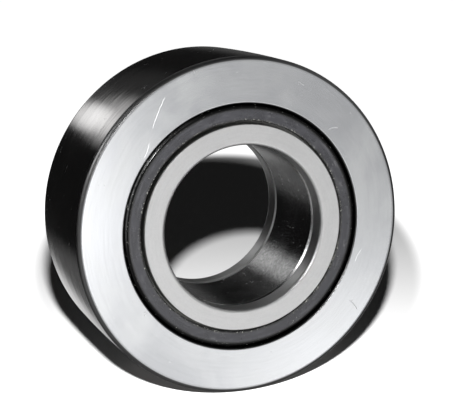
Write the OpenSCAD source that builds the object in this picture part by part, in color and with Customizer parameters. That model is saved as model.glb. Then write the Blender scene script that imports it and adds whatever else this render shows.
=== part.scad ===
// Cam follower: a yoke-type track roller with two full rows of cylindrical rollers.
//
// The inner ring and its two flange rings are clamped on a stud. The thick outer ring rolls
// along a cam or a rail, and turns on the two rows of rollers. A pressed angle ring at each end
// of the outer ring covers the flange ring, keeps the grease in and holds everything together.
//
// The axis runs along Y, the front face looks along -Y and Z is up.
// The origin is the centre of the bore.

/* [Main sizes] */
// Bore of the inner ring, which takes the stud
bore_d = 35; // [34:0.5:36]
// Outside diameter, at the top of the crown
outer_d = 72; // [70:1:76]
// Width of the outer ring
outer_w = 28; // [27.5:0.1:28.5]
// Width across the two flange rings
overall_w = 29; // [28.8:0.1:29.4]
// Radius of the crown along the running surface
crown_r = 500; // [300:50:900]
// Radius that rounds the two outside edges
outer_corner_r = 1.3; // [0.6:0.1:1.8]

/* [Rollers] */
// Diameter of a roller
roller_d = 5.5; // [5.4:0.1:5.7]
// Chamfer at the ends of a roller
roller_chamfer = 0.35; // [0.1:0.05:0.8]
// Gap between a roller and each raceway
raceway_gap = 0.06; // [0.03:0.01:0.1]
// Smallest gap between two rollers of a row
neighbour_gap = 0.1; // [0.06:0.01:0.12]
// Gap at each end of a roller
end_gap = 0.1; // [0.05:0.01:0.2]

/* [Inner and flange rings] */
// Thickness of the inner ring's wall
inner_wall = 4; // [3.8:0.1:4.2]
// Chamfer at the two ends of the inner ring's bore
inner_chamfer = 0.6; // [0.2:0.1:1]
// Diameter of the lubrication hole through the inner ring
grease_hole_d = 2.5; // [1.5:0.5:4]
// Direction of the lubrication hole, up from the +X axis
grease_hole_angle = 130; // [0:5:360]
// Width of one flange ring
flange_ring_w = 4.5; // [4.2:0.1:4.8]
// Radius that rounds the bore's entry
bore_entry_r = 0.7; // [0.3:0.1:1]
// Thickness of the flange that stands in front of the roller ends
flange_t = 2.4; // [2:0.1:2.5]

/* [Angle rings] */
// Thickness of the sheet steel
sheet_t = 1; // [0.8:0.1:1.1]
// Outside radius of the bend in the sheet
bend_r = 1.2; // [1.1:0.1:1.4]
// Length of the leg that is pressed into the outer ring
leg_l = 2.3; // [2:0.1:2.4]
// How far the sheet lies below the outer ring's face
face_recess = 0.3; // [0.2:0.1:0.4]
// Width of the sealing gap around the flange ring's hub
seal_gap = 0.45; // [0.25:0.05:0.6]

/* [Hidden] */
$fn = 180;

bore_r = bore_d / 2;
outer_r = outer_d / 2;
half_w = outer_w / 2;
half_overall = overall_w / 2;

// Rollers and their raceways
inner_race_r = bore_r + inner_wall;
pitch_r = inner_race_r + raceway_gap + roller_d / 2;
outer_race_r = pitch_r + roller_d / 2 + raceway_gap;
rollers_per_row = floor(180 / asin((roller_d + neighbour_gap) / (2 * pitch_r)));
roller_pitch_angle = 360 / rollers_per_row;
row_gap = end_gap;                                  // between the two rows
half_inner_w = half_overall - flange_ring_w;        // the inner ring ends here
roller_l = half_inner_w - end_gap - row_gap / 2;
roller_mid = row_gap / 2 + roller_l / 2;

// Outer ring: a rib beyond each row, then the seat of the angle ring
rib_height_above_pitch = 0.1;
rib_r = pitch_r + rib_height_above_pitch;
rib_start = half_inner_w + end_gap / 2;
seat_depth = 1.7;
seat_r = rib_r + seat_depth;
seat_chamfer = 0.26;
angle_face = half_w - face_recess;
seat_floor = angle_face - leg_l;
crown_margin = 1;

// Flange rings: a flange in front of the rollers and a narrower hub out to the end face
hub_step = 0.5;
hub_r = inner_race_r + hub_step;
flange_below_pitch = 0.4;
flange_r = pitch_r - flange_below_pitch;
flange_chamfer = 0.3;
joint_chamfer = 0.5;
edge_chamfer = 0.2;                                 // outside edges of the hubs and the inner ring

// Angle rings
seal_r = hub_r + seal_gap;
inner_bend_r = bend_r - sheet_t;
sheet_edge_r = 0.15;

arc_steps = 8;
crown_fn = 720;
hole_overshoot = 1;

FRONT = -1;
REAR = 1;
ROWS = [["front", FRONT], ["rear", REAR]];
ROLLERS = [for (i = [1 : rollers_per_row]) i];

function roller_name(row, i) = str(row, "_roller_", i < 10 ? "0" : "", i);

// Points of an arc, from one direction to another, both ends included
function arc(centre, r, from, to) =
    [for (i = [0 : arc_steps])
        let (a = from + (to - from) * i / arc_steps)
        centre + r * [cos(a), sin(a)]];

// An outline drawn for the rear half, joined to its mirror image
function both_halves(points) =
    concat(points, [for (i = [len(points) - 1 : -1 : 0]) [points[i].x, -points[i].y]]);

// A section, drawn as radius and distance along the axis, turned about the Y axis
module turned() {
    rotate([-90, 0, 0]) rotate_extrude() children();
}

// Rear parts are drawn as they are, and front parts are their mirror image
module on_side(side) {
    mirror([0, side == FRONT ? 1 : 0, 0]) children();
}

module outer_ring_section() {
    corner = [outer_r - outer_corner_r, half_w - outer_corner_r];
    intersection() {
        polygon(both_halves(concat(
            [
                [outer_race_r, rib_start],
                [rib_r, rib_start],
                [rib_r, seat_floor],
                [seat_r, seat_floor],
                [seat_r, half_w - seat_chamfer],
                [seat_r + seat_chamfer, half_w]
            ],
            arc(corner, outer_corner_r, 90, 0),
            [[outer_r + crown_margin, corner.y]]
        )));
        translate([outer_r - crown_r, 0]) circle(r = crown_r, $fn = crown_fn);
    }
}

module inner_ring_section() {
    polygon(both_halves([
        [bore_r, half_inner_w - inner_chamfer],
        [bore_r + inner_chamfer, half_inner_w],
        [inner_race_r - edge_chamfer, half_inner_w],
        [inner_race_r, half_inner_w - edge_chamfer]
    ]));
}

module flange_ring_section() {
    entry = [bore_r + bore_entry_r, half_overall - bore_entry_r];
    flange_end = half_inner_w + flange_t;
    polygon(concat(
        [
            [flange_r, half_inner_w],
            [bore_r + joint_chamfer, half_inner_w],
            [bore_r, half_inner_w + joint_chamfer]
        ],
        arc(entry, bore_entry_r, 180, 90),
        [
            [hub_r - edge_chamfer, half_overall],
            [hub_r, half_overall - edge_chamfer],
            [hub_r, flange_end],
            [flange_r - flange_chamfer, flange_end],
            [flange_r, flange_end - flange_chamfer]
        ]
    ));
}

module angle_ring_section() {
    back = angle_face - sheet_t;
    polygon(concat(
        [
            [seal_r + sheet_edge_r, back],
            [seal_r, back + sheet_edge_r],
            [seal_r, angle_face - sheet_edge_r],
            [seal_r + sheet_edge_r, angle_face]
        ],
        arc([seat_r - bend_r, angle_face - bend_r], bend_r, 90, 0),
        [
            [seat_r, seat_floor],
            [seat_r - sheet_t, seat_floor]
        ],
        arc([seat_r - bend_r, angle_face - bend_r], inner_bend_r, 0, 90)
    ));
}

module roller_section() {
    half_l = roller_l / 2;
    roller_r = roller_d / 2;
    polygon([
        [0, -half_l],
        [roller_r - roller_chamfer, -half_l],
        [roller_r, -half_l + roller_chamfer],
        [roller_r, half_l - roller_chamfer],
        [roller_r - roller_chamfer, half_l],
        [0, half_l]
    ]);
}

module inner_ring() {
    color("silver")
    difference() {
        turned() inner_ring_section();
        rotate([0, 90 - grease_hole_angle, 0])
            translate([0, 0, bore_r - hole_overshoot])
            cylinder(d = grease_hole_d, h = inner_wall + 2 * hole_overshoot);
    }
}

module flange_ring(side) {
    color("gainsboro") on_side(side) turned() flange_ring_section();
}

module outer_ring() {
    color("lightsteelblue") turned() outer_ring_section();
}

module angle_ring(side) {
    color("dimgray") on_side(side) turned() angle_ring_section();
}

// Roller 1 of the front row stands on the +X axis, and the numbers run up towards +Z.
// The rear row stands half a pitch further on.
module roller(side, i) {
    angle = (i - 1 + (side == REAR ? 0.5 : 0)) * roller_pitch_angle;
    color("whitesmoke")
    rotate([0, -angle, 0])
    translate([pitch_r, side * roller_mid, 0])
        turned() roller_section();
}

inner_ring();
flange_ring(FRONT);  // front_flange_ring
flange_ring(REAR);  // rear_flange_ring
outer_ring();
angle_ring(FRONT);  // front_angle_ring
angle_ring(REAR);  // rear_angle_ring
for (row = ROWS)
    for (i = ROLLERS)
        roller(row[1], i);
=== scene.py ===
import math

import bmesh
import bpy
from mathutils import Matrix, Vector


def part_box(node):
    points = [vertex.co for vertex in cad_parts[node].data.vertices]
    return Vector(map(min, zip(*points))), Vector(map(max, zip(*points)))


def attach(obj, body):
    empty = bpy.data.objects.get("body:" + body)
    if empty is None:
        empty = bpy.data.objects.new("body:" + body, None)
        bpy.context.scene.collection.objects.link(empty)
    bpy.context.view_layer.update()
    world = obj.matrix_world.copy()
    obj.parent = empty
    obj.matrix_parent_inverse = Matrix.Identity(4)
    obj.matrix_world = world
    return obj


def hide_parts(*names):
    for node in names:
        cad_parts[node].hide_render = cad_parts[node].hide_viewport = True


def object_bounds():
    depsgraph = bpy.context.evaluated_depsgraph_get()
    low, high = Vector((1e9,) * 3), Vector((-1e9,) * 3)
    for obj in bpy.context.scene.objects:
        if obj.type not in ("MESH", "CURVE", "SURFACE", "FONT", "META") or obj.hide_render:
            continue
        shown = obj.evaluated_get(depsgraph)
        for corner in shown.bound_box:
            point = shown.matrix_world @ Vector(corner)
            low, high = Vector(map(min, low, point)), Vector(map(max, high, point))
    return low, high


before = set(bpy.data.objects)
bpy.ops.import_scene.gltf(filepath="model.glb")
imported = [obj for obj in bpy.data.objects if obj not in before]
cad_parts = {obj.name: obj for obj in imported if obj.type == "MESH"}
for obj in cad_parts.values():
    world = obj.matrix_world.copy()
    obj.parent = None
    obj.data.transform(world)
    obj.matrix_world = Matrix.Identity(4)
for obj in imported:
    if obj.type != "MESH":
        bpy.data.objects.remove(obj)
cad_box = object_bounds()

MM = 0.001
INNER = "inner_assembly"
OUTER = "outer_assembly"

# Turned pieces
SEGMENTS = 288
EDGE_BREAK = 0.08 * MM       # rounding on every sharp edge
BREAK_STEPS = 3
SHARP_TURN = math.radians(14)
STRAIGHT_TURN = math.radians(0.05)
LONG_STRETCH = 4 * EDGE_BREAK
CUT_ANGLE = 0.123            # the half-plane that sections are read in, clear of mesh edges
WELD = 1e-7
WELD_DIGITS = 7
HOLE_SIDES = 64
HOLE_ZONE = 3 * MM           # the lubrication hole lies this near the middle of the inner ring
CREASE_ANGLE = math.radians(40)
END_FACE_DEPTH = 0.5 * MM    # a flange ring's hub edge lies this near its end face

# Camera, from the photograph's viewing angle
VIEW_AZIMUTH = math.radians(-21.18)
VIEW_ELEVATION = math.radians(11.40)
VIEW_DISTANCE = 287.66 * MM
VIEW_RIGHT = 1.631 * MM      # how far the camera stands to the right of the line to the origin
VIEW_UP = 1.298 * MM
LENS_MM = 104.2
SENSOR_MM = 36.0
CLIP_START = 0.01

# Floor and light
FLOOR_HALF = 6.0
FLOOR_COLOR = (0.82, 0.82, 0.82, 1)
FLOOR_ROUGHNESS = 0.9
WHITE = (1, 1, 1, 1)
FLOOR_GLOW = 1.0             # lights the floor evenly outside the shadow
SHADOW_MIDDLE = Vector((52, 130, 0)) * MM
SHADOW_HALF_LENGTH = 158 * MM
SHADOW_HALF_WIDTH = 56 * MM
GLOW_START = 1.0             # in shadow half-lengths and half-widths from the shadow's middle
GLOW_FULL = 1.16
FLASH_PLACE = Vector((-100, -264, 108)) * MM
FLASH_SIZE = 10 * MM
FLASH_POWER = 4.0            # on matt surfaces
GLINT_SIZE = 32 * MM
GLINT_POWER = 0.10           # the same flash on glossy surfaces, softer
BACKGROUND = 1.0             # what the camera sees past the floor
AMBIENT = 0.012              # soft light on matt surfaces

# What bright steel reflects: soft boxes, each as azimuth and elevation of its middle, half-angles
# that it is full to and has faded out at, all in degrees, and brightness. Azimuth 0 is in front.
STUDIO_DARK = 0.012
SOFT_BOXES = [
    (20, -8, 25, 70, 0.64),           # room in front
    (18, -30, 10, 24, 0.40),          # bright table in front
    (9.8, -11, 2.5, 8, 2.80),         # low window on the left
    (28, -20, 2, 7.5, 1.60),          # low window on the right
    (0, -90, 20, 62, 0.30),           # table below
    (-170, 12.8, 1, 4.8, 1.80),       # narrow light, behind on the left
    (-165.5, 19.5, 3, 10.5, 1.00),    # its soft surround
    (-176, 22, 4, 13, 0.04),          # dim wall above it
    (174, -13.5, 5, 12, 1.10),        # lit table behind
    (-169, -24, 5, 11, 0.13),         # dim table beside it
    (153, -4, 6, 16, 0.09),           # dim wall on the right
    (-62, 24, 12, 34, 0.90),          # tall soft box on the left
    (-62, 27, 4, 10, 10.0),           # its bright middle
    (-71, -35, 10, 25, 0.40),         # table on the left
    (134, -18, 8, 24, 0.85),          # rear fill
    (-45, -21, 8, 24, 0.70),          # front fill
    (180, 62, 10, 32, 0.70),          # overhead, towards the back
    (92, 32, 12, 36, 0.45),           # soft window on the right
]

# Long scratches on the front face of the outer ring, in millimetres and degrees: the middle's x
# and z, the lean, the length and how far it bows
HAIRS = [
    (-18.2, 24.9, 66, 7.5, 0.3),
    (-20.7, 17.4, 70, 3.5, -0.2),
    (-14.0, 32.4, 20, 3.5, 0.3),
    (26.8, -8.2, 60, 3.5, 0.2),
]
HAIR_WIDTH = 0.065 * MM


# ---------------------------------------------------------------- shapes

def cad_section(node):
    """The section of a turned CAD node, as a closed list of (radius, y), read from its mesh."""
    cut = bmesh.new()
    cut.from_mesh(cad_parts[node].data)
    bmesh.ops.remove_doubles(cut, verts=cut.verts, dist=WELD)
    rings = sorted({(round(math.hypot(v.co.x, v.co.z), WELD_DIGITS), round(v.co.y, WELD_DIGITS))
                    for v in cut.verts})
    outward = Vector((math.cos(CUT_ANGLE), 0, math.sin(CUT_ANGLE)))
    everything = cut.verts[:] + cut.edges[:] + cut.faces[:]
    found = bmesh.ops.bisect_plane(cut, geom=everything, plane_co=(0, 0, 0),
                                   plane_no=outward.cross((0, 1, 0)))["geom_cut"]
    links = {}
    for edge in found:
        if isinstance(edge, bmesh.types.BMEdge) and edge.verts[0].co.dot(outward) > 0:
            a, b = edge.verts
            links.setdefault(a, []).append(b)
            links.setdefault(b, []).append(a)
    start = min(links, key=lambda v: (v.co.y, v.co.dot(outward)))
    loop, last, here = [], None, start
    while not loop or here is not start:
        loop.append(here)
        last, here = here, next(v for v in links[here] if v is not last)
    section = []
    for v in loop:
        r, y = math.hypot(v.co.x, v.co.z), v.co.y
        point = min(rings, key=lambda ring: math.hypot(ring[0] - r, ring[1] - y))
        if point not in section:
            section.append(point)
    cut.free()
    return [Vector(p) for p in section]


def corners(section):
    """Each point of a closed section with its two neighbours and how far the line turns there."""
    for i, here in enumerate(section):
        before, after = section[i - 1], section[(i + 1) % len(section)]
        yield before, here, after, (here - before).angle(after - here)


def softened(section):
    """The section with no point on a straight stretch, and a small round at each sharp corner."""
    section = [here for _, here, _, turn in corners(section) if turn > STRAIGHT_TURN]
    soft = []
    for before, here, after, turn in corners(section):
        if turn < SHARP_TURN:
            soft.append(here)
            continue
        back, on = (before - here).normalized(), (after - here).normalized()
        reach = min(EDGE_BREAK, (before - here).length / 3, (after - here).length / 3)
        start, end = here + back * reach, here + on * reach
        for step in range(BREAK_STEPS + 1):
            t = step / BREAK_STEPS
            soft.append(start.lerp(here, t).lerp(here.lerp(end, t), t))
    return soft


def held(section):
    """The section with a point near both ends of each long stretch, which keeps it flat."""
    points = []
    for i, here in enumerate(section):
        after = section[(i + 1) % len(section)]
        points.append(here)
        along = after - here
        if along.length > LONG_STRETCH:
            points.append(here + along.normalized() * EDGE_BREAK)
            points.append(after - along.normalized() * EDGE_BREAK)
    return points


def lathe(name, section):
    """A ring about the Y axis with that section."""
    mesh = bmesh.new()
    rings = []
    for s in range(SEGMENTS):
        a = 2 * math.pi * s / SEGMENTS
        rings.append([mesh.verts.new((p.x * math.cos(a), p.y, p.x * math.sin(a))) for p in section])
    n = len(section)
    for s in range(SEGMENTS):
        here, after = rings[s], rings[(s + 1) % SEGMENTS]
        for i in range(n):
            j = (i + 1) % n
            mesh.faces.new((here[i], here[j], after[j], after[i]))
    bmesh.ops.recalc_face_normals(mesh, faces=mesh.faces)
    for face in mesh.faces:
        face.smooth = True
    data = bpy.data.meshes.new(name)
    mesh.to_mesh(data)
    mesh.free()
    piece = bpy.data.objects.new(name, data)
    bpy.context.scene.collection.objects.link(piece)
    return piece


def turned_piece(node, body, material):
    """A finely turned piece that stands for a CAD ring, with its edges broken."""
    piece = lathe(node + "_turned", held(softened(cad_section(node))))
    piece.data.materials.append(material)
    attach(piece, body)
    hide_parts(node)
    return piece


def drill_grease_hole(piece, node):
    """Cuts the lubrication hole of a CAD node into the piece that stands for it."""
    rim = [v.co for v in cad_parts[node].data.vertices if abs(v.co.y) < HOLE_ZONE]
    middle = sum(rim, Vector()) / len(rim)
    outward = Vector((middle.x, 0, middle.z)).normalized()
    radius = max(abs(p.y) for p in rim)
    inside = min(p.dot(outward) for p in rim)
    outside = max(p.dot(outward) for p in rim)
    drill = bmesh.new()
    turn = outward.to_track_quat("Z", "Y").to_matrix().to_4x4()
    place = Matrix.Translation(outward * (inside + outside) / 2) @ turn
    bmesh.ops.create_cone(drill, cap_ends=True, segments=HOLE_SIDES, radius1=radius, radius2=radius,
                          depth=2 * (outside - inside), matrix=place)
    data = bpy.data.meshes.new("drill")
    drill.to_mesh(data)
    drill.free()
    cutter = bpy.data.objects.new("drill", data)
    bpy.context.scene.collection.objects.link(cutter)
    cut = piece.modifiers.new("grease_hole", "BOOLEAN")
    cut.operation = "DIFFERENCE"
    cut.solver = "EXACT"
    cut.object = cutter
    depsgraph = bpy.context.evaluated_depsgraph_get()
    drilled = bpy.data.meshes.new_from_object(piece.evaluated_get(depsgraph))
    piece.modifiers.clear()
    piece.data = drilled
    drilled.set_sharp_from_angle(angle=CREASE_ANGLE)
    bpy.data.objects.remove(cutter)


# ---------------------------------------------------------------- materials

def add_node(tree, kind, inputs, **settings):
    """A new node, with each of its inputs linked to a socket or set to a value."""
    made = tree.nodes.new(kind)
    for key, value in settings.items():
        setattr(made, key, value)
    for key, value in inputs.items():
        if isinstance(value, bpy.types.NodeSocket):
            tree.links.new(value, made.inputs[key])
        else:
            made.inputs[key].default_value = value
    return made


class Shader:
    """A material's node tree, with short calls for the nodes that the finishes share."""

    def __init__(self, name, surface):
        self.material = bpy.data.materials.new(name)
        self.material.use_nodes = True
        self.tree = self.material.node_tree
        self.tree.nodes.clear()
        self.surface = self.node("ShaderNodeBsdfPrincipled", surface)
        self.node("ShaderNodeOutputMaterial", {"Surface": self.surface.outputs[0]})
        self.place = self.node("ShaderNodeTexCoord", {}).outputs["Object"]
        self.xyz = self.node("ShaderNodeSeparateXYZ", {"Vector": self.place}).outputs

    def node(self, kind, inputs, **settings):
        return add_node(self.tree, kind, inputs, **settings)

    def math(self, operation, a, b=0.0):
        return self.node("ShaderNodeMath", {0: a, 1: b}, operation=operation).outputs[0]

    def ramp(self, value, low, high, bottom=0.0, top=1.0):
        """A value that goes from low to high, turned smoothly into bottom to top."""
        inputs = {"Value": value, "From Min": low, "From Max": high, "To Min": bottom, "To Max": top}
        return self.node("ShaderNodeMapRange", inputs, interpolation_type="SMOOTHSTEP").outputs[0]

    def blend(self, share, a, b):
        """Color a turned into b by share."""
        mix = self.node("ShaderNodeMix", {0: share}, data_type="RGBA")
        for index, value in ((6, a), (7, b)):
            if isinstance(value, bpy.types.NodeSocket):
                self.tree.links.new(value, mix.inputs[index])
            else:
                mix.inputs[index].default_value = (*value, 1)
        return mix.outputs[2]

    def tint(self, tone, share, amount, color):
        """The tone turned into color by share times amount."""
        return self.blend(self.math("MULTIPLY", share, amount), tone, color)

    def mix(self, share, a, b):
        """Number a turned into b by share."""
        return self.node("ShaderNodeMix", {0: share, 2: a, 3: b}, data_type="FLOAT").outputs[0]

    def add(self, value, share, amount):
        """The value and share times amount."""
        return self.math("ADD", value, self.math("MULTIPLY", share, amount))

    def noise(self, vector, scale, detail=3.0, roughness=0.5, distortion=0.0):
        inputs = {"Vector": vector, "Scale": scale, "Detail": detail, "Roughness": roughness,
                  "Distortion": distortion}
        return self.node("ShaderNodeTexNoise", inputs).outputs["Fac"]

    def combine(self, x, y, z):
        return self.node("ShaderNodeCombineXYZ", {"X": x, "Y": y, "Z": z}).outputs[0]

    def radius(self):
        """Distance from the Y axis."""
        squares = self.math("ADD", self.math("MULTIPLY", self.xyz[0], self.xyz[0]),
                            self.math("MULTIPLY", self.xyz[2], self.xyz[2]))
        return self.math("SQRT", squares)

    def turned(self, around, across):
        """Coordinates that run slowly around the axis and fast across it, for turned grain."""
        r = self.radius()
        return self.combine(
            self.math("MULTIPLY", self.math("DIVIDE", self.xyz[0], r), around),
            self.math("MULTIPLY", self.math("ADD", r, self.xyz[1]), across),
            self.math("MULTIPLY", self.math("DIVIDE", self.xyz[2], r), around))

    def scratches(self, cell, width, keep, seed):
        """1 on thin curved scratches about cell long, on the share of them that keep leaves."""
        moved = self.node("ShaderNodeVectorMath", {0: self.place, 1: (seed, seed * 0.7, -seed)},
                          operation="ADD").outputs[0]
        bend = self.node("ShaderNodeTexNoise", {"Vector": moved, "Scale": 0.6 / cell, "Detail": 1.0})
        bent = self.node("ShaderNodeVectorMath",
                         {0: bend.outputs["Color"], 1: (cell, cell, cell), 2: moved},
                         operation="MULTIPLY_ADD").outputs[0]
        cells = self.node("ShaderNodeTexVoronoi", {"Vector": bent, "Scale": 1 / cell},
                          feature="DISTANCE_TO_EDGE").outputs["Distance"]
        line = self.ramp(cells, width / cell, 0.3 * width / cell)
        kept = self.ramp(self.noise(moved, 2.2 / cell, 2.0), keep, keep + 0.05)
        return self.math("MULTIPLY", line, kept)

    def specks(self, cell, size, keep, seed):
        """1 on small specks of dust or grit, size across."""
        moved = self.node("ShaderNodeVectorMath", {0: self.place, 1: (-seed, seed, seed * 0.4)},
                          operation="ADD").outputs[0]
        dots = self.node("ShaderNodeTexVoronoi", {"Vector": moved, "Scale": 1 / cell})
        near = self.ramp(dots.outputs["Distance"], size / cell, 0.5 * size / cell)
        lucky = self.node("ShaderNodeSeparateColor", {"Color": dots.outputs["Color"]}).outputs[0]
        return self.math("MULTIPLY", near, self.math("GREATER_THAN", lucky, keep))

    def hair(self, x, z, lean, length, bow, width):
        """1 on one thin curved scratch of the front face, with its middle at x, z."""
        lean = math.radians(lean)
        x_off, z_off = self.math("SUBTRACT", self.xyz[0], x), self.math("SUBTRACT", self.xyz[2], z)
        along = self.math("ADD", self.math("MULTIPLY", x_off, math.cos(lean)),
                          self.math("MULTIPLY", z_off, math.sin(lean)))
        across = self.math("SUBTRACT", self.math("MULTIPLY", x_off, math.sin(lean)),
                           self.math("MULTIPLY", z_off, math.cos(lean)))
        curve = self.math("MULTIPLY", self.math("MULTIPLY", along, along), 4 * bow / length ** 2)
        wander = self.math("MULTIPLY", self.noise(self.place, 2 / length, 3.0), length / 8)
        off = self.math("ABSOLUTE", self.math("ADD", self.math("SUBTRACT", across, curve), wander))
        ends = self.ramp(self.math("ABSOLUTE", along), length / 2, length / 3)
        line = self.math("MULTIPLY", self.ramp(off, width, 0.3 * width), ends)
        return self.math("MULTIPLY", line, self.math("LESS_THAN", self.xyz[1], 0.0))

    def bump(self, height, distance, over=None):
        inputs = {"Height": height, "Distance": distance, "Strength": 1.0}
        if over is not None:
            inputs["Normal"] = over
        return self.node("ShaderNodeBump", inputs).outputs[0]

    def finish(self, color, roughness, normal, metallic=None):
        links = {"Base Color": color, "Roughness": roughness, "Normal": normal}
        if metallic is not None:
            links["Metallic"] = metallic
        for label, value in links.items():
            self.tree.links.new(value, self.surface.inputs[label])
        return self.material


# In the finishes below, noise scales are in features per metre.

def ground_steel(name, light, dark, smooth, rough, seed, scratch_keep, grainy, dust_cell,
                 painted_shade_r=None):
    """Hardened ground steel: fine turned grain, cloudy smudges, thin scratches and dust.

    Beyond painted_shade_r the steel is painted darker, as painted shade on its edge."""
    s = Shader(name, {"Metallic": 1.0})
    grain = s.noise(s.turned(5.0, 2600.0), 1.0, 4.0, 0.65)
    fine = s.noise(s.place, 2600.0 - 1500.0 * grainy, 4.0, 0.75)
    cloud = s.noise(s.place, 95.0, 4.0, 0.55, 0.6)
    scratch = s.scratches(7.0 * MM, 0.06 * MM, scratch_keep, seed)
    short = s.scratches(2.6 * MM, 0.05 * MM, scratch_keep + 0.04, seed + 3.1)
    dust = s.specks(dust_cell, 0.08 * MM, 0.90 - 0.3 * grainy, seed)
    marks = s.math("MAXIMUM", scratch, short)

    tone = s.blend(s.ramp(cloud, 0.30, 0.70), dark, light)
    tone = s.tint(tone, s.ramp(grain, 0.35, 0.75), 0.14, tuple(c * 0.7 for c in dark))
    tone = s.tint(tone, s.ramp(fine, 0.35, 0.70), grainy, tuple(c * 0.5 for c in dark))
    tone = s.tint(tone, marks, 0.4, (0.92, 0.93, 0.94))
    tone = s.tint(tone, dust, 0.4, (0.95, 0.95, 0.95))
    gloss = s.ramp(cloud, 0.25, 0.75, smooth, rough)
    gloss = s.add(gloss, grain, 0.05)
    # painted shade: beyond painted_shade_r the steel is painted dark
    if painted_shade_r:
        edge = s.ramp(s.radius(), painted_shade_r - 0.08 * MM, painted_shade_r)
        tone = s.tint(tone, edge, 0.85, (0.14, 0.14, 0.13))
        gloss = s.add(gloss, edge, 0.12)
    gloss = s.add(gloss, s.math("MAXIMUM", marks, dust), 0.25)

    normal = s.bump(grain, 0.0022 * MM)
    normal = s.bump(fine, (0.0010 + 0.040 * grainy) * MM, over=normal)
    normal = s.bump(s.math("SUBTRACT", dust, marks), 0.006 * MM, over=normal)
    return s.finish(tone, gloss, normal, metallic=s.ramp(dust, 0.0, 1.0, 1.0, 0.3))


def outer_ring_steel():
    """The thick ring: satin ground end faces, corners and inner surfaces painted dark as painted
    shade, and a running surface with rubbing marks along its length."""
    s = Shader("outer_ring_steel", {"Metallic": 1.0})
    corner_r, face_y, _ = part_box("outer_ring")[1]
    r = s.radius()
    y = s.math("ABSOLUTE", s.xyz[1])
    on_face = s.ramp(y, face_y - 0.08 * MM, face_y - 0.01 * MM)
    on_rim = s.math("MULTIPLY", s.ramp(y, face_y - 1.0 * MM, face_y - 1.3 * MM),
                    s.ramp(r, corner_r - 1.3 * MM, corner_r - 0.6 * MM))
    grain = s.noise(s.turned(4.0, 2100.0), 1.0, 4.0, 0.65)
    lines = s.noise(s.turned(9.0, 520.0), 1.0, 3.0, 0.6)
    fine = s.noise(s.place, 3600.0, 2.0, 0.6)
    cloud = s.noise(s.place, 62.0, 4.0, 0.55, 0.8)
    wear_and_painted_glint = s.noise(s.turned(7.0, 900.0), 1.0, 4.0, 0.65)
    scratch = s.scratches(9.0 * MM, 0.07 * MM, 0.66, 0.31)
    short = s.scratches(3.0 * MM, 0.05 * MM, 0.68, 0.77)
    dust = s.specks(1.6 * MM, 0.09 * MM, 0.90, 0.21)
    marks = s.math("MAXIMUM", scratch, short)
    matt = dust
    for x, z, lean, length, bow in HAIRS:
        hair = s.hair(x * MM, z * MM, lean, length * MM, bow * MM, HAIR_WIDTH)
        matt = s.math("MAXIMUM", matt, s.math("MULTIPLY", hair, on_face))

    face_tone = s.blend(s.ramp(cloud, 0.30, 0.70), (0.63, 0.64, 0.66), (0.70, 0.71, 0.72))
    rim_tone = s.blend(s.ramp(wear_and_painted_glint, 0.30, 0.72), (0.33, 0.32, 0.32), (0.47, 0.46, 0.45))
    # painted shade: the corners and inner surfaces, away from the running surface and the end faces,
    # are painted a dark tone
    tone = s.blend(on_rim, (0.13, 0.13, 0.13), rim_tone)
    tone = s.blend(on_face, tone, face_tone)
    tone = s.tint(tone, s.ramp(grain, 0.35, 0.75), 0.12, (0.42, 0.43, 0.44))
    tone = s.tint(tone, marks, 0.45, (0.93, 0.94, 0.95))
    tone = s.tint(tone, matt, 0.4, (0.85, 0.85, 0.85))
    rim_gloss = s.mix(on_rim, 0.34, s.ramp(wear_and_painted_glint, 0.25, 0.75, 0.105, 0.16))
    face_gloss = s.ramp(cloud, 0.25, 0.75, 0.17, 0.24)
    gloss = s.mix(on_face, rim_gloss, face_gloss)
    gloss = s.add(gloss, s.math("MAXIMUM", marks, matt), 0.25)

    normal = s.bump(s.add(grain, lines, 0.8), 0.0020 * MM)
    normal = s.bump(fine, 0.0012 * MM, over=normal)
    normal = s.bump(s.math("SUBTRACT", dust, marks), 0.006 * MM, over=normal)
    return s.finish(tone, gloss, normal, metallic=s.ramp(matt, 0.0, 1.0, 1.0, 0.75))


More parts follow.
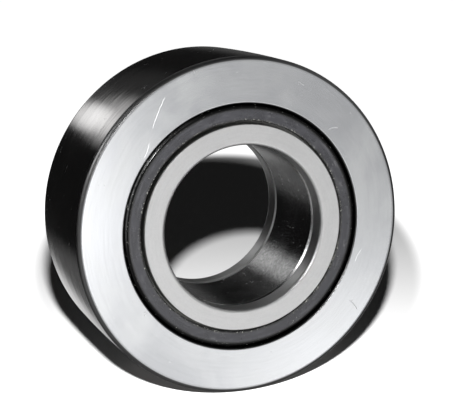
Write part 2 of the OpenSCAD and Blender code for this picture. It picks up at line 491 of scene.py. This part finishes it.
def blackened_steel():
    """Pressed sheet with a satin black oxide coating, streaked by drawing and dusty at its edges,
    with painted shade near its bend and inner gap and a painted highlight on the bend's crest on one
    side."""
    s = Shader("blackened_sheet_steel", {"Specular IOR Level": 0.6})
    outer_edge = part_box("front_angle_ring")[1].x
    inner_edge = min(point.x for point in cad_section("front_angle_ring"))
    r = s.radius()
    near_bend = s.ramp(r, outer_edge - 1.6 * MM, outer_edge - 0.9 * MM)
    near_gap = s.ramp(r, inner_edge + 0.6 * MM, inner_edge + 0.2 * MM)
    # painted highlight: a light band on the bend's crest, on the upper left side only, where the
    # flash glints
    crest = s.math("MULTIPLY", s.ramp(r, outer_edge - 0.80 * MM, outer_edge - 0.60 * MM),
                   s.ramp(r, outer_edge - 0.15 * MM, outer_edge - 0.35 * MM))
    glint_side = s.math("MULTIPLY", s.ramp(s.xyz[0], -8.0 * MM, -16.0 * MM),
                      s.ramp(s.xyz[2], -4.0 * MM, 6.0 * MM))
    broken = s.ramp(s.noise(s.place, 1500.0, 3.0, 0.6), 0.25, 0.55)
    wear_and_painted_glint = s.math("MULTIPLY", s.math("MULTIPLY", crest, glint_side), broken)
    cloud = s.noise(s.place, 260.0, 4.0, 0.6, 0.5)
    drawn = s.noise(s.turned(4.0, 1900.0), 1.0, 4.0, 0.65)
    streak = s.noise(s.turned(11.0, 1300.0), 1.0, 3.0, 0.6)
    fine = s.noise(s.place, 4200.0, 2.0, 0.6)
    grains = s.noise(s.place, 2900.0, 2.0, 0.7)
    few = s.specks(0.8 * MM, 0.10 * MM, 0.82, 0.57)
    grit = s.math("MAXIMUM", s.math("MULTIPLY", s.ramp(grains, 0.58, 0.70), near_gap),
                  s.math("MULTIPLY", s.ramp(grains, 0.66, 0.76), near_bend))
    dust = s.math("MAXIMUM", grit, few)

    tone = s.blend(s.ramp(cloud, 0.2, 0.8), (0.006, 0.006, 0.007), (0.010, 0.010, 0.012))
    # painted shade: darker near the gap at the sheet's inner edge and towards its bend
    tone = s.blend(s.math("MAXIMUM", near_bend, near_gap), tone, (0.004, 0.004, 0.004))
    tone = s.tint(tone, s.ramp(drawn, 0.45, 0.8), 0.40, (0.030, 0.030, 0.033))
    tone = s.tint(tone, s.ramp(streak, 0.56, 0.78), 0.35, (0.060, 0.060, 0.062))
    # painted shade: the bend is an even near-black tone
    tone = s.blend(near_bend, tone, (0.016, 0.016, 0.016))
    # painted highlight: the crest band on the upper left is painted light
    tone = s.blend(wear_and_painted_glint, tone, (0.26, 0.26, 0.26))
    tone = s.tint(tone, dust, 0.5, (0.22, 0.22, 0.20))
    gloss = s.ramp(cloud, 0.25, 0.75, 0.22, 0.36)
    gloss = s.add(gloss, near_bend, -0.12)
    gloss = s.add(gloss, dust, 0.3)

    normal = s.bump(drawn, 0.006 * MM)
    normal = s.bump(streak, 0.006 * MM, over=normal)
    normal = s.bump(fine, 0.004 * MM, over=normal)
    normal = s.bump(dust, 0.04 * MM, over=normal)
    # painted shade and painted highlight: the bend is made metallic, so its near-black tone reflects
    # almost nothing and the painted crest band shines
    bend_shade_and_glint = s.math("MULTIPLY", near_bend, s.ramp(dust, 0.0, 1.0, 1.0, 0.0))
    return s.finish(tone, gloss, normal, metallic=bend_shade_and_glint)


def roller_steel():
    """Polished rollers with a film of grease in clouds."""
    s = Shader("roller_steel", {"Metallic": 1.0})
    cloud = s.noise(s.place, 240.0, 3.0, 0.55)
    fine = s.noise(s.place, 5200.0, 2.0, 0.6)
    tone = s.blend(s.ramp(cloud, 0.3, 0.7), (0.66, 0.67, 0.68), (0.78, 0.78, 0.78))
    gloss = s.ramp(cloud, 0.3, 0.7, 0.08, 0.15)
    return s.finish(tone, gloss, s.bump(fine, 0.0008 * MM))


# ---------------------------------------------------------------- stage

def add_floor(height):
    """A pale floor. It glows outside the object's long shadow, so that it is evenly white there."""
    data = bpy.data.meshes.new("floor")
    h = FLOOR_HALF
    around = [(-h, -h, height), (h, -h, height), (h, h, height), (-h, h, height)]
    data.from_pydata(around, [], [(0, 1, 2, 3)])
    floor = bpy.data.objects.new("floor", data)
    bpy.context.scene.collection.objects.link(floor)
    paper = Shader("floor_paper", {"Base Color": FLOOR_COLOR, "Roughness": FLOOR_ROUGHNESS,
                                   "Specular IOR Level": 0.0})
    along = Vector((-FLASH_PLACE.x, -FLASH_PLACE.y, 0)).normalized()
    across = along.cross((0, 0, 1))
    off = paper.node("ShaderNodeVectorMath", {0: paper.place, 1: SHADOW_MIDDLE}, operation="SUBTRACT")
    shares = [paper.node("ShaderNodeVectorMath", {0: off.outputs[0], 1: axis / half},
                         operation="DOT_PRODUCT").outputs["Value"]
              for axis, half in ((along, SHADOW_HALF_LENGTH), (across, SHADOW_HALF_WIDTH))]
    away = paper.node("ShaderNodeVectorMath", {0: paper.combine(shares[0], shares[1], 0.0)},
                      operation="LENGTH").outputs["Value"]
    glow = paper.ramp(away, GLOW_START, GLOW_FULL, 0.0, FLOOR_GLOW)
    paper.surface.inputs["Emission Color"].default_value = WHITE
    paper.tree.links.new(glow, paper.surface.inputs["Emission Strength"])
    data.materials.append(paper.material)
    floor.visible_glossy = False


def add_flash(name, size, power, glossy):
    """A small flash above the camera, for matt surfaces or for glossy ones."""
    light = bpy.data.lights.new(name, "AREA")
    light.shape = "DISK"
    light.size = size
    light.energy = power
    flash = bpy.data.objects.new(name, light)
    flash.visible_glossy = glossy
    flash.visible_diffuse = not glossy
    aim = (-FLASH_PLACE).to_track_quat("-Z", "Y").to_matrix().to_4x4()
    flash.matrix_world = Matrix.Translation(FLASH_PLACE) @ aim
    bpy.context.scene.collection.objects.link(flash)


def toward(azimuth, elevation):
    """The direction from the origin at that azimuth and elevation. Azimuth 0 is -Y, and 90
    degrees is +X."""
    level = math.cos(elevation)
    return Vector((math.sin(azimuth) * level, -math.cos(azimuth) * level, math.sin(elevation)))


def add_studio():
    """The world: a plain background for the camera, soft light, and soft boxes in reflections."""
    world = bpy.data.worlds.new("studio")
    bpy.context.scene.world = world
    world.use_nodes = True
    world.cycles.sampling_method = "NONE"
    tree = world.node_tree
    tree.nodes.clear()

    direction = add_node(tree, "ShaderNodeTexCoord", {}).outputs["Generated"]
    reflected = STUDIO_DARK
    for azimuth, elevation, full, faded, brightness in SOFT_BOXES:
        middle = toward(math.radians(azimuth), math.radians(elevation))
        facing = add_node(tree, "ShaderNodeVectorMath", {0: direction, 1: middle},
                          operation="DOT_PRODUCT").outputs["Value"]
        inputs = {"Value": facing, "From Min": math.cos(math.radians(faded)),
                  "From Max": math.cos(math.radians(full)), "To Min": 0.0, "To Max": brightness}
        box = add_node(tree, "ShaderNodeMapRange", inputs, interpolation_type="SMOOTHSTEP")
        reflected = add_node(tree, "ShaderNodeMath", {0: box.outputs[0], 1: reflected},
                             operation="ADD").outputs[0]
    rays = add_node(tree, "ShaderNodeLightPath", {}).outputs
    light = add_node(tree, "ShaderNodeMix", {0: rays["Is Glossy Ray"], 2: AMBIENT, 3: reflected},
                     data_type="FLOAT").outputs[0]
    light = add_node(tree, "ShaderNodeMix", {0: rays["Is Camera Ray"], 2: light, 3: BACKGROUND},
                     data_type="FLOAT").outputs[0]
    glow = add_node(tree, "ShaderNodeBackground", {"Strength": light})
    add_node(tree, "ShaderNodeOutputWorld", {"Surface": glow.outputs[0]})


def add_camera():
    """A camera that sees the object as in the photograph."""
    back = toward(VIEW_AZIMUTH, VIEW_ELEVATION)
    right = Vector((math.cos(VIEW_AZIMUTH), math.sin(VIEW_AZIMUTH), 0))
    up = back.cross(right)
    lens = bpy.data.cameras.new("camera")
    lens.lens = LENS_MM
    lens.sensor_width = SENSOR_MM
    lens.clip_start = CLIP_START
    camera = bpy.data.objects.new("camera", lens)
    turn = Matrix((right, up, back)).transposed()
    place = back * VIEW_DISTANCE + right * VIEW_RIGHT + up * VIEW_UP
    camera.matrix_world = Matrix.Translation(place) @ turn.to_4x4()
    bpy.context.scene.collection.objects.link(camera)
    bpy.context.scene.camera = camera


# ---------------------------------------------------------------- the object

flange_section = cad_section("front_flange_ring")
front_end = flange_section[0].y
hub_r = max(point.x for point in flange_section if point.y < front_end + END_FACE_DEPTH)

ring_steel = outer_ring_steel()
flange_steel = ground_steel(
    "flange_ring_steel", light=(0.74, 0.74, 0.74), dark=(0.68, 0.68, 0.68), smooth=0.32, rough=0.38,
    seed=0.43, scratch_keep=0.67, grainy=0.10, dust_cell=1.5 * MM, painted_shade_r=hub_r - 0.14 * MM)
bore_steel = ground_steel(
    "bearing_steel", light=(0.62, 0.62, 0.62), dark=(0.46, 0.46, 0.46), smooth=0.12, rough=0.20,
    seed=0.91, scratch_keep=0.64, grainy=0.70, dust_cell=0.8 * MM)
sheet_steel = blackened_steel()
bright_steel = roller_steel()

turned_piece("outer_ring", OUTER, ring_steel)
for side in ("front", "rear"):
    turned_piece(f"{side}_angle_ring", OUTER, sheet_steel)
    turned_piece(f"{side}_flange_ring", INNER, flange_steel)
inner_ring = turned_piece("inner_ring", INNER, bore_steel)
drill_grease_hole(inner_ring, "inner_ring")

for node_name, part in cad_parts.items():
    if "_roller_" in node_name:
        for material_slot in part.material_slots:
            material_slot.material = bright_steel

add_floor(cad_box[0][2])
add_flash("flash", FLASH_SIZE, FLASH_POWER, glossy=False)
add_flash("glint", GLINT_SIZE, GLINT_POWER, glossy=True)
add_studio()
add_camera()
bpy.context.scene.view_settings.view_transform = "Standard"
